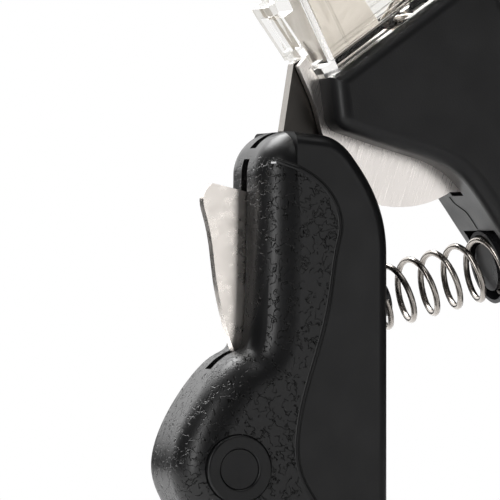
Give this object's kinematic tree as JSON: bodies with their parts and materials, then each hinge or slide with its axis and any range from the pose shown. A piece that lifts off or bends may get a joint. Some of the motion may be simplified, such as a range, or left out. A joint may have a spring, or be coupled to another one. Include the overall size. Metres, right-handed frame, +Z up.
{
  "type": "lever corkscrew",
  "caption": "Squeeze-lever corkscrew with a clear neck guide, black handles, textured grips and a coil return spring between the handles.",
  "frame": {"origin": "centre of the bounding box, at the height of the lowest point of the handle tips", "axes": "+Z up with the lever hanging straight down; the tool lies in the XZ plane, fixed handle towards +X, clear guide towards -X and up; front face towards -Y"},
  "size_m": [0.1436, 0.0372, 0.1897],
  "materials": {
    "black_body": "fine spark-eroded satin black",
    "black_lever": "smooth satin black",
    "textured_grip": "moulded worm-track grip texture",
    "brushed_steel": "brushed",
    "polished_steel": "polished",
    "bright_steel": "bright drawn wire and turned steel",
    "clear_cover": "clear moulded polycarbonate",
    "dark_fitting": "dark moulded",
    "soft_rubber": "soft",
    "bush_brass": "turned"
  },
  "bodies": {
    "root": {"body_front_shell": "black_body", "body_rear_shell": "black_body", "frame_plate_front": "brushed_steel", "frame_plate_rear": "brushed_steel", "frame_posts": "brushed_steel", "lever_pivot_pin": "bright_steel", "body_screws": "bright_steel", "neck_guide": "clear_cover", "guide_latch": "clear_cover", "guide_block": "brushed_steel", "stop_plate": "brushed_steel", "neck_cushion": "soft_rubber", "guide_rod": "bright_steel", "rod_end_block": "brushed_steel", "spring_socket": "dark_fitting", "return_spring": "bright_steel"},
    "lever": {"lever_tang": "brushed_steel", "tang_rivets": "bright_steel", "lever_front_shell": "black_lever", "lever_rear_shell": "black_lever", "grip_panel_front": "textured_grip", "grip_panel_rear": "textured_grip", "boss_rings": "textured_grip", "boss_caps": "textured_grip", "lever_bolt": "bright_steel", "spring_seat": "dark_fitting", "tab_pin": "bright_steel", "drive_clutch": "bright_steel"},
    "tab": {"release_tab": "polished_steel"},
    "gear": {"drive_gear": "bright_steel"},
    "carriage": {"carriage": "brushed_steel", "worm_bushing": "bush_brass"},
    "worm": {"worm": "bright_steel"}
  },
  "joints": [
    {"name": "lever_squeeze", "type": "hinge", "parent": "root", "child": "lever", "pos_m": [-0.01877, 0, 0.10512], "axis": [0, -1, 0], "range_deg": [0, 22], "stiffness_Nm_per_rad": 2, "springref_deg": -8.59, "deforming": ["return_spring"]},
    {"name": "tab_press", "type": "hinge", "parent": "lever", "child": "tab", "pos_m": [-0.05177, 0, 0.05212], "axis": [0, 1, 0], "range_deg": [0, 8], "stiffness_Nm_per_rad": 0.08, "springref_deg": -5.73},
    {"name": "carriage_travel", "type": "slide", "parent": "root", "child": "carriage", "axis": [-0.5821, 0, 0.8131], "range_m": [0, 0.0371]},
    {"name": "gear_spin", "type": "hinge", "parent": "root", "child": "gear", "pos_m": [-0.01877, 0, 0.10512], "axis": [0, -1, 0], "range_deg": [0, 327]},
    {"name": "worm_spin", "type": "hinge", "parent": "carriage", "child": "worm", "pos_m": [-0.00893, 0, 0.11216], "axis": [-0.5821, 0, 0.8131], "range_deg": [0, 1484]}
  ],
  "couplings": [
    {"joint": "carriage_travel", "follows": "gear_spin", "m_per_rad": 0.0065},
    {"joint": "worm_spin", "follows": "gear_spin", "ratio": 4.5379}
  ]
}
